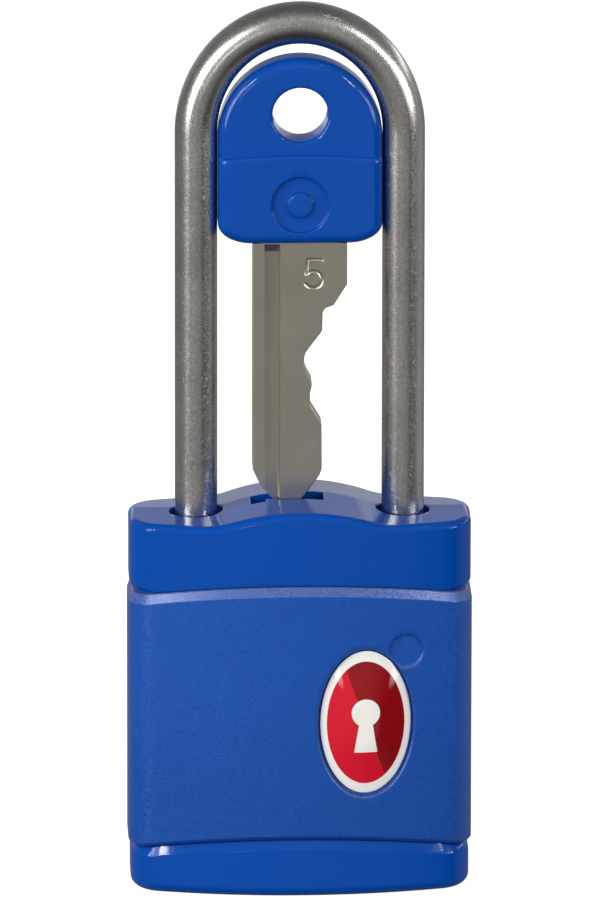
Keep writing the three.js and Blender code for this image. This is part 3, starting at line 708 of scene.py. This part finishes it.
pearl_painted_sheen = pearl_facing.part(2).ramp(0.15, 0.36, 0.0, 0.65)  # painted sheen: faces that look up, such as the bevel, are made paler
coat(pearl, {
    "Base Color": pearl_painted_sheen.between(pearl_blue, pearl_sheen_tint),
    "Metallic": 0.12,
    "Roughness": pearl_cloud.ramp(0.2, 0.8, 0.30, 0.40),
    "Specular IOR Level": 0.34,
    "Coat Weight": 0.35,
    "Coat Roughness": 0.25,
    "Normal": pearl.make("ShaderNodeBump", {}, {
        "Height": pearl_cloud, "Distance": 0.000006, "Strength": 1.0, "Normal": pearl_lean,
    }),
})
place(sleeve, "case", "pearl_blue", pearl_lacquer, "body_sleeve", sharp=50.0)


# ---- Badge ----
# An oval plate printed under a clear domed resin, glued into its recess. A plain keyhole sign on a
# two-tone red field inside a pale rim.

dome_rise = 0.68
dome_start = -0.42  # of the dome's edge, below the sleeve's face
dome_flat = 0.30  # share of the badge that stays flat
dome_bend = 1.15
badge_back = -0.55


def badge_face(x, z, out):
    """Points over the sleeve's front, standing out of it."""
    return np.column_stack([x, bow_radius - half_depth - np.sqrt(bow_radius ** 2 - x ** 2) - out, z])


badge_turn = np.linspace(0, 2 * math.pi, 128, endpoint=False)


def badge_ring(size, out):
    """The badge's oval at a share of its size, standing out of the sleeve's face."""
    across = badge_across + badge_half_width * size * np.cos(badge_turn)
    return badge_face(across, badge_up + badge_half_height * size * np.sin(badge_turn), out)


badge_rings = [badge_ring(share, badge_back) for share in (0.05, 0.4, 0.8, 0.97)]
badge_rings += [badge_ring(0.998, badge_back + 0.02), badge_ring(1.0, dome_start - 0.02)]
for share in np.linspace(1, 0.02, 40):
    bend = max((share - dome_flat) / (1 - dome_flat), 0.0) ** dome_bend
    badge_rings.append(badge_ring(share - 0.004, dome_start + dome_rise * (1 - bend)))
badge = loft("badge_dome", badge_rings)

badge_enamel, enamel = new_finish("badge_enamel")
enamel_at = enamel.make("ShaderNodeTexCoord", {}, {}, "Object")
enamel_x = enamel_at.part(0) * 1000.0 - badge_across
enamel_z = enamel_at.part(2) * 1000.0 - badge_up
enamel_reach = ((enamel_x / badge_half_width) ** 2.0 + (enamel_z / badge_half_height) ** 2.0) ** 0.5
on_rim = enamel_reach.ramp(0.855, 0.865)
key_round = ((enamel_x ** 2.0 + (enamel_z - 1.0) ** 2.0) ** 0.5).ramp(1.22, 1.26, 1.0, 0.0)
key_flare = 0.45 + (0.9 - enamel_z) * 0.16  # half the slot's width, which grows downwards
side_of_slot = enamel_x.at_least(enamel_x * -1.0)
key_slot = (side_of_slot - key_flare).ramp(-0.02, 0.02, 1.0, 0.0)
key_slot = key_slot * enamel_z.ramp(-2.62, -2.58) * enamel_z.ramp(0.98, 1.02, 1.0, 0.0)
keyhole = key_round.at_least(key_slot)
dark_side = (enamel_x + enamel_z * 0.35).ramp(-0.02, 0.02)
print_grain = enamel_at.noise(0.12, 2.0)
red_bright = print_grain.between((0.60, 0.005, 0.021), (0.66, 0.009, 0.030))
red_dark = print_grain.between((0.23, 0.003, 0.006), (0.29, 0.005, 0.008))
off_white = print_grain.between((0.84, 0.84, 0.82), (0.89, 0.89, 0.87))
field = dark_side.between(red_bright, red_dark)
coat(enamel, {
    "Base Color": on_rim.at_least(keyhole).between(field, off_white),
    "Roughness": print_grain.ramp(0.0, 1.0, 0.50, 0.60),
    "Specular IOR Level": 0.0,
    "Coat Weight": 1.0,
    "Coat Roughness": 0.03,
    "Normal": enamel_at.noise(2.0, 1.0).bump(0.003),
})
place(badge, "case", "badge_enamel", badge_enamel, "badge")


# ---- Top cap ----
# The upper moulding, in the same glossy blue. It is pressed over the core with a lip inside the
# sleeve, and its top rises from two flat shoulders to a round crown that carries the keyway.

top_half_width = half_width - 0.1
top_edge = 0.62
shoulder_height = 33.4
crown_height = 34.75
face_lift = 0.2  # of the whole top face
crown_radius = 20.0
crown_half_width = 6.0
roof_height = shoulder_height - 2.05
top_lip = 0.4
leg_across = 9.0
wire_radius = 1.85
leg_hole_half = (wire_radius + 0.50, wire_radius + 0.08)
nose_radius = 4.85
crease_back = 1.0  # of the top face; behind it the face falls away a little to the back
crease_soft = 0.5
fall = math.tan(math.radians(2.2))


def top_face(x, y):
    """Height of the top face: a round crown that runs out through two hollows into the shoulders."""
    across = np.abs(x)
    turn = math.asin(crown_half_width / crown_radius)
    crown_edge = crown_height - crown_radius * (1 - math.cos(turn))
    hollow_radius = (crown_edge - shoulder_height) / (1 - math.cos(turn))
    hollow_end = crown_half_width + hollow_radius * math.sin(turn)
    crown = crown_height - crown_radius + np.sqrt(np.maximum(crown_radius ** 2 - across ** 2, 0))
    hollow = shoulder_height + hollow_radius - np.sqrt(
        np.maximum(hollow_radius ** 2 - (hollow_end - across) ** 2, 0))
    height = np.where(across < hollow_end, hollow, shoulder_height)
    height = np.where(across < crown_half_width, crown, height)
    past = np.clip(y - crease_back, 0, None)
    soft = np.clip(past / crease_soft, 0, 1)
    past = np.where(past < crease_soft, past * soft / 2, past - crease_soft / 2)
    return height + face_lift - fall * past


def on_top(points):
    """Lays points on the top face."""
    return np.column_stack([points[:, 0], points[:, 1], top_face(points[:, 0], points[:, 1])])


def down_from_top(x, y, sunk):
    """Points below the top face at a place on it."""
    return np.column_stack([x, y, top_face(x, y) - sunk])


top_rim = seam(upper_seam, -0.02)
rim_ease = 0.08
top_lip_end = upper_seam - seam_arch - lip_length
top_lip_inside = core_inset + top_lip
top_plan = (top_half_width, cap_half_depth)
eased_rim = [(rim_tuck, 0.0), *quarter(rim_ease, 0, math.pi / 2)[::-1]]
rounded_rim = quarter(cap_edge, 0, rim_turn, len(eased_rim) - 1)[::-1]
top_edge_path = [(inset, -drop) for inset, drop in quarter(top_edge, 0, math.pi / 2, 12)]
top_rings = (
    band(half_width, half_depth, [(top_lip_inside, 0.0)], level(roof_height))
    + band(half_width, half_depth, [(top_lip_inside, 0.0), (core_inset, 0.0)], level(top_lip_end))
    + two_edged(band(*top_plan, eased_rim, top_rim), band(*top_plan, rounded_rim, top_rim))
    + band(*top_plan, [(0.0, hold)], lambda x, y: top_rim(x, y) + cap_edge)
    + band(*top_plan, [(0.0, -hold)], lambda x, y: top_face(x, y) - top_edge)
    + band(*top_plan, [*top_edge_path, (top_edge + hold, 0.0)], top_face)
)
top_cap = loft("top_cap_moulding", top_rings, across=28, lids=(None, on_top))
bore_half = (nose_radius + 0.06, nose_radius + 0.06)
leg_hole_profile = [*eased_mouth(0.12), (0.0, 4.0)]
cut(
    top_cap,
    oval_tool("plug_bore", (0, 0), bore_half, [(0, -1), (0, 5)], down_from_top, 192),
    oval_tool("heel_hole", (-leg_across, 0), leg_hole_half, leg_hole_profile, down_from_top, 72),
    oval_tool("toe_hole", (leg_across, 0), leg_hole_half, leg_hole_profile, down_from_top, 72),
)
place(top_cap, "case", "blue_gloss", blue_gloss, "top_cap")


# ---- Plug face ----
# A moulded disc fixed on the end of the brass plug, flush with the crown, with the keyway and its
# ward cut through it.

plug_top = roof_height + 0.15
keyway_left, keyway_right, keyway_half = -4.25, 2.08, 1.2
ward_left, ward_right, ward_edge = -2.95, -1.90, -0.5


def prism(name, outline, low, high):
    """An upright prism over an outline of (x, y) points."""
    count = len(outline)
    points = [(x, y, z) for z in (low, high) for x, y in outline]
    faces = [tuple(range(count)), tuple(range(count, 2 * count))]
    faces += [(i, (i + 1) % count, count + (i + 1) % count, count + i) for i in range(count)]
    return solid(name, points, faces)


face_turn = np.linspace(0, 2 * math.pi, 192, endpoint=False)


def face_ring(radius, height=None):
    """A ring of the disc: on the top face, or flat at a height."""
    x, y = radius * np.cos(face_turn), radius * np.sin(face_turn)
    return np.column_stack([x, y, top_face(x, y) if height is None else np.full_like(x, height)])


face_radius = nose_radius + 0.055
face_rings = [face_ring(0.01, plug_top + 0.05), face_ring(face_radius, plug_top + 0.05)]
face_rings += [face_ring(face_radius * share) for share in np.linspace(1, 0, 17)[:-1]]
plug_face = loft("plug_face_disc", [*face_rings, face_ring(0.01)])
keyway_outline = [
    (keyway_left, -keyway_half), (ward_left, -keyway_half), (ward_left, ward_edge),
    (ward_right, ward_edge), (ward_right, -keyway_half), (keyway_right, -keyway_half),
    (keyway_right, keyway_half), (keyway_left, keyway_half),
]
cut(plug_face, prism("keyway", keyway_outline, plug_top - 1, crown_height + 1))
place(plug_face, "plug", "blue_gloss", blue_gloss, "plug_face", sharp=40.0)


# ---- Shackle ----
# One length of round steel wire, bent to a bow, ground and left with a satin, lightly pitted skin.
# The heel leg is flatted for its pin and the toe is notched for the ball.

bow_height = 68.57
bow_ease = 0.7  # how far below the round the bend begins
heel_end, toe_end = 12.0, 25.03
end_chamfer = 0.4
heel_flat = (13.3, 24.32, -7.85)  # from and to, and its face across
notch_across, notch_height, notch_radius = 6.25, 28.23, 1.88


def wire_ring(x, z, along, radius, count=64):
    """A round section about a point, square to a direction in the XZ plane."""
    turn = np.linspace(0, 2 * math.pi, count, endpoint=False)
    other = (-along[1], along[0])
    return np.column_stack([
        x + radius * np.cos(turn) * other[0], radius * np.sin(turn), z + radius * np.cos(turn) * other[1],
    ])


def leg_end(x, end, along):
    """The end of a leg, upwards: its flat, its chamfer and the start of the straight wire."""
    sizes = [
        (0.02, 0.0), (wire_radius - end_chamfer - 0.05, 0.0), (wire_radius - end_chamfer, 0.01),
        (wire_radius - 0.03, end_chamfer - 0.03), (wire_radius, end_chamfer + 0.04),
    ]
    return [wire_ring(x, end + rise, along, radius) for radius, rise in sizes]


def straight_leg(x, start, end, along):
    """Rings along a leg between its end and the bow."""
    return [wire_ring(x, z, along, wire_radius) for z in np.linspace(start, end, 24)]


bow_turns = np.linspace(math.pi, 0, 129)
bow_start = bow_height - bow_ease
bow_rise = leg_across + bow_ease
wire_rings = leg_end(-leg_across, heel_end, (0, 1))
wire_rings += straight_leg(-leg_across, heel_end + 2, bow_start - 1, (0, 1))
for turn in bow_turns:
    across, up = leg_across * math.sin(turn), -bow_rise * math.cos(turn)
    along = (across / math.hypot(across, up), up / math.hypot(across, up))
    wire_rings.append(wire_ring(
        leg_across * math.cos(turn), bow_start + bow_rise * math.sin(turn), along, wire_radius,
    ))
wire_rings += straight_leg(leg_across, bow_start - 1, toe_end + 2, (0, -1))
wire_rings += reversed(leg_end(leg_across, toe_end, (0, -1)))
shackle = loft("shackle_wire", wire_rings)

flat_from, flat_to, flat_face = heel_flat
flat_tool = prism("heel_flat", [(flat_face, -3), (0, -3), (0, 3), (flat_face, 3)], flat_from, flat_to)
notch_turn = np.linspace(0, 2 * math.pi, 48, endpoint=False)
notch_rings = [
    np.column_stack([
        notch_across + notch_radius * math.cos(tilt) * np.ones_like(notch_turn),
        notch_radius * math.sin(tilt) * np.cos(notch_turn),
        notch_height + notch_radius * math.sin(tilt) * np.sin(notch_turn),
    ])
    for tilt in np.linspace(0.02, math.pi - 0.02, 32)
]
cut(shackle, flat_tool, loft("ball_notch", notch_rings))

satin_steel, steel = new_finish("satin_steel")
steel_at = steel.make("ShaderNodeTexCoord", {}, {}, "Object")
steel_grain = steel_at.noise(0.16, 3.0, 0.6)
steel_pits = steel_at.noise(0.34, 2.0, 0.6).ramp(0.58, 0.72)
steel_draw = (steel_at * (1.0, 1.0, 0.10)).noise(0.20, 2.0)
steel_stain = steel_at.noise(4.5, 3.0)
steel_mottle = (steel_at * (1.0, 1.0, 0.7)).noise(0.20, 2.0, 0.6)
steel_tone = (0.4 * steel_stain + 0.6 * steel_mottle).ramp(0.32, 0.68)
coat(steel, {
    "Base Color": steel_tone.between((0.44, 0.43, 0.415), (0.64, 0.63, 0.62)),
    "Metallic": 1.0,
    "Roughness": 0.20 + 0.08 * steel_grain + 0.05 * steel_draw + 0.12 * steel_pits,
    "Normal": (0.9 * steel_grain + 0.35 * steel_draw - 0.9 * steel_pits).bump(0.0010),
})
place(shackle, "shackle", "shackle_steel", satin_steel, "shackle", sharp=40.0)


# ---- Key blade ----
# Stamped from nickel-plated sheet, with a milled groove on its front, two cuts in its right edge
# and a plain number struck near the head. Its tang is moulded into the head.

blade_thick = 2.0
blade_length = 23.7
key_entry = 0.4
head_base = crown_height - key_entry + blade_length
blade_edge = [  # across, and distance below the head
    (4.1, 0.0), (4.1, 3.7), (2.92, 5.60), (2.2, 5.86), (1.97, 6.25), (1.94, 7.9),
    (0.46, 9.9), (0.32, 10.7), (0.5, 11.5), (1.04, 12.5), (1.02, 13.0), (0.88, 13.5),
    (0.88, 14.6), (1.9, 16.3), (1.92, 20.4), (1.7, 21.0), (0.4, 22.8), (0.0, 23.3),
    (-0.7, 23.7), (-1.8, 23.7), (-2.75, 22.8), (-3.6, 21.5), (-4.1, 20.4), (-4.1, 0.0),
]
blade_softness = (  # radius of each corner between the first and the last
    0.5, 0.1, 0.1, 0.15, 0.6, 1.2, 1.2, 0.8, 0.5, 0.2, 0.3,
    0.4, 0.7, 0.6, 0.6, 0.3, 0.3, 0.1, 0.1, 0.1, 0.5, 0.6,
)
tang_half, tang_length = 3.0, 6.0
groove_left, groove_right = -3.1, -1.75
groove_depth = 0.65
groove_start = 0.1  # below the head
groove_ramp = 0.9
groove_lean = 0.16  # of its right side at full depth
blade_bevel = 0.09

blade_outline = [
    (-tang_half, 0.02), (-tang_half, tang_length), (tang_half, tang_length), (tang_half, 0.02),
]
blade_outline += [(x, -0.05 - down) for x, down in rounded(blade_edge, blade_softness, 3)]


def plate(name, outline, thick):
    """A plate stood up across the padlock, from an outline of (x, z) points over the head's base."""
    count = len(outline)
    points = [(x, y, head_base + z) for y in (-thick / 2, thick / 2) for x, z in outline]
    faces = [tuple(range(count)), tuple(range(count, 2 * count))]
    faces += [(i, (i + 1) % count, count + (i + 1) % count, count + i) for i in range(count)]
    return solid(name, points, faces)


def ease_edges(piece, width, segments=3, angle=25.0):
    """Rounds the sharp edges of a piece."""
    step = piece.modifiers.new("ease", "BEVEL")
    step.width = width
    step.segments = segments
    step.limit_method = "ANGLE"
    step.angle_limit = math.radians(angle)
    graph = bpy.context.evaluated_depsgraph_get()
    piece.data = bpy.data.meshes.new_from_object(piece.evaluated_get(graph))
    piece.modifiers.clear()
    return piece


blade = ease_edges(plate("key_blade_stamping", blade_outline, blade_thick), blade_bevel)
front = -blade_thick / 2


def groove_ring(z):
    """The groove's section at a height: its floor runs out to the face below the head."""
    down = head_base - groove_start - z
    share = min(max(down / groove_ramp, 0.0), 1.0)
    deep = front + groove_depth * math.sin(share * math.pi / 2) - (0.02 if down < 0 else 0.0)
    lean = groove_lean * (deep - front) / groove_depth
    return np.array([
        (groove_left, front - 1, z), (groove_right + 0.03, front - 1, z), (groove_right + 0.03, front, z),
        (groove_right - lean, deep, z), (groove_left + 0.05, deep, z), (groove_left, deep - 0.05, z),
    ])


groove_heights = [
    head_base - blade_length - 1, head_base - groove_start - groove_ramp,
    *(head_base - groove_start - groove_ramp * share for share in np.linspace(0.9, 0.0, 10)),
]
digit_across, digit_up = 1.2, 55.2
digit_pen = 0.23
digit_sunk = 0.14
bowl_turns = np.linspace(math.radians(138), math.radians(-150), 25)
bowl = [(-0.05 + 0.76 * math.cos(turn), -0.50 + 0.76 * math.sin(turn)) for turn in bowl_turns]
stroke_tips = ((1.0, 0.15), (0.75, 0.66), (0.4, 0.92))  # how far past the stroke and how wide, in pens
digit_strokes = [
    [(0.68, 1.30), (-0.53, 1.30)],
    [(-0.53, 1.30), (-0.62, 0.02)],
    bowl,
]


def stroke_tool(name, stroke, pen):
    """A round punch drawn along a stroke on the front of the blade."""
    path = np.array(stroke, float)
    rings = []
    turn = np.linspace(0, 2 * math.pi, 20, endpoint=False)
    ways = np.gradient(path, axis=0)
    ways /= np.linalg.norm(ways, axis=1)[:, None]
    starts = [(path[0] - ways[0] * pen * past, ways[0], pen * size) for past, size in stroke_tips]
    middles = [(point, way, pen) for point, way in zip(path, ways)]
    ends = [(path[-1] + ways[-1] * pen * past, ways[-1], pen * size) for past, size in stroke_tips[::-1]]
    for (x, z), (along_x, along_z), radius in [*starts, *middles, *ends]:
        rings.append(np.column_stack([
            digit_across + x - along_z * radius * np.cos(turn),
            front - (pen - digit_sunk) + radius * np.sin(turn),
            digit_up + z + along_x * radius * np.cos(turn),
        ]))
    return loft(name, rings)


cut(
    blade,
    loft("groove", [groove_ring(z) for z in groove_heights]),
    *(stroke_tool(f"stroke_{i}", stroke, digit_pen) for i, stroke in enumerate(digit_strokes)),
)

blade_nickel, nickel = new_finish("blade_nickel")
nickel_at = nickel.make("ShaderNodeTexCoord", {}, {}, "Object")
nickel_lines = (nickel_at * (1.0, 1.0, 0.06)).noise(0.11, 3.0)
nickel_grain = nickel_at.noise(0.22, 3.0, 0.6)
nickel_stain = nickel_at.noise(3.2, 3.0)
coat(nickel, {
    "Base Color": nickel_stain.between((0.49, 0.47, 0.395), (0.60, 0.57, 0.49)),
    "Metallic": 1.0,
    "Roughness": 0.26 + 0.10 * nickel_grain + 0.08 * nickel_lines,
    "Normal": (0.6 * nickel_lines + 0.7 * nickel_grain).bump(0.006),
})
place(blade, "key", "key_nickel", blade_nickel, "key_blade", sharp=12.0)


# ---- Key head ----
# Blue plastic moulded over the blade's tang: a satin bow with a ring hole, thicker below a step
# that crosses it, with a shallow round dimple on the front.

head_height = 16.6
head_half = 7.13
head_lower, head_upper = 1.85, 1.57  # half the thickness below and above the step
head_step = 7.75
head_step_run = 0.5
head_step_arch = 0.32
head_edge = 0.95
head_back_edge = 0.8
head_corner = (2.9, 1.8)  # across and up
ring_hole_radius = 2.4
ring_hole_up = head_height - 5.0
dimple_radius, dimple_up, dimple_sunk = 2.5, 3.6, 0.36
dimple_mouth, dimple_fillet = 0.12, 0.10
button_radius = 1.1  # left standing in the middle of the dimple


def head_half_thickness(up):
    """Half the head's thickness at a height over its base, rounded over the step."""
    share = np.clip((up - (head_step - head_step_run)) / head_step_run, 0, 1)
    return head_upper + (head_lower - head_upper) * np.sqrt(1 - share ** 2)


def head_ring(inset, drop, side):
    """The head's outline drawn in by an inset, at a drop behind its front (side -1) or back (side 1)."""
    round_centre = head_height - head_half
    corner_across, corner_up = head_corner
    top = np.linspace(math.pi / 2 - 0.03, 0, 44)
    bottom = np.linspace(0, -math.pi / 2, 13)
    step_share = np.linspace(0, 1, 9)
    straight = np.concatenate([
        np.linspace(round_centre, head_step + 0.25, 6)[1:],
        [head_step + 0.05],
        head_step - head_step_run * (1 - np.sin(step_share * math.pi / 2))[::-1],
        np.linspace(head_step - head_step_run - 0.1, corner_up, 10)[:-1],
    ])
    x = np.concatenate([
        (head_half - inset) * np.cos(top),
        np.full_like(straight, head_half - inset),
        head_half - corner_across + (corner_across - inset) * np.cos(bottom),
    ])
    up = np.concatenate([
        round_centre + (head_half - inset) * np.sin(top),
        straight,
        corner_up + (corner_up - inset) * np.sin(bottom),
    ])
    half = head_half_thickness(up)
    ring = np.column_stack([x, side * (half - drop), head_base + up])
    return both_sides(ring, (-1, 1, 1))


def arch_step(points):
    """Lifts the middle of the step, so that it crosses the head in a low arch."""
    up = points[:, 2] - head_base
    near = np.clip(1 - np.abs(up - (head_step - head_step_run / 2)) / 3.0, 0, 1)
    near = near * near * (3 - 2 * near)
    lift = head_step_arch * (1 - (points[:, 0] / (head_half - head_edge)) ** 2) * near
    return np.column_stack([points[:, 0], points[:, 1], points[:, 2] + lift])


head_edge_profile = quarter(head_edge, 0, math.pi / 2, 12)
head_rings = [head_ring(head_edge + hold, 0.0, -1)]
head_rings += [head_ring(i, d, -1) for i, d in reversed(head_edge_profile)]
head_rings += [head_ring(i, d, 1) for i, d in quarter(head_back_edge, 0, math.pi / 2, 12)]
head_rings += [head_ring(head_back_edge + hold, 0.0, 1)]
head = loft("key_head_moulding", head_rings, across=24, lids=(arch_step, arch_step))


def into_head(side):
    """Places on the head's front (side -1) or back (side 1), sunk below its face."""
    def put(x, up, sunk):
        """Points at a place across and up the head."""
        return np.column_stack([x, side * (head_half_thickness(up) - sunk), head_base + up])
    return put


tang_fit = tang_half + 0.05
dimple_side = [*eased_mouth(dimple_mouth), *sunk_floor(dimple_sunk, dimple_fillet, 0)[:4]]
pocket_top = tang_length + 0.05
pocket_outline = [(-tang_fit, -1.0), (tang_fit, -1.0), (tang_fit, pocket_top), (-tang_fit, pocket_top)]
ring_hole_half = (ring_hole_radius, ring_hole_radius)
ring_hole_profile = [*eased_mouth(0.3), (0.0, head_upper + 0.3)]
cut(
    head,
    plate("tang_pocket", pocket_outline, blade_thick + 0.1),
    *(
        oval_tool(f"ring_hole_{side}", (0, ring_hole_up), ring_hole_half, ring_hole_profile,
                  into_head(side), 96)
        for side in (-1, 1)
    ),
    oval_tool("dimple", (0, dimple_up), (0, 0), [
        *((dimple_radius + grown, sunk) for grown, sunk in dimple_side),
        *((button_radius - grown, sunk) for grown, sunk in reversed(dimple_side)),
    ], into_head(-1), 96, loop=True),
)
blue_satin = blue_plastic("blue_satin", (0.0002, 0.059, 0.355), (0.0004, 0.063, 0.375), 0.06, 0.005, 0.32)
place(head, "key", "blue_gloss", blue_satin, "key_head")
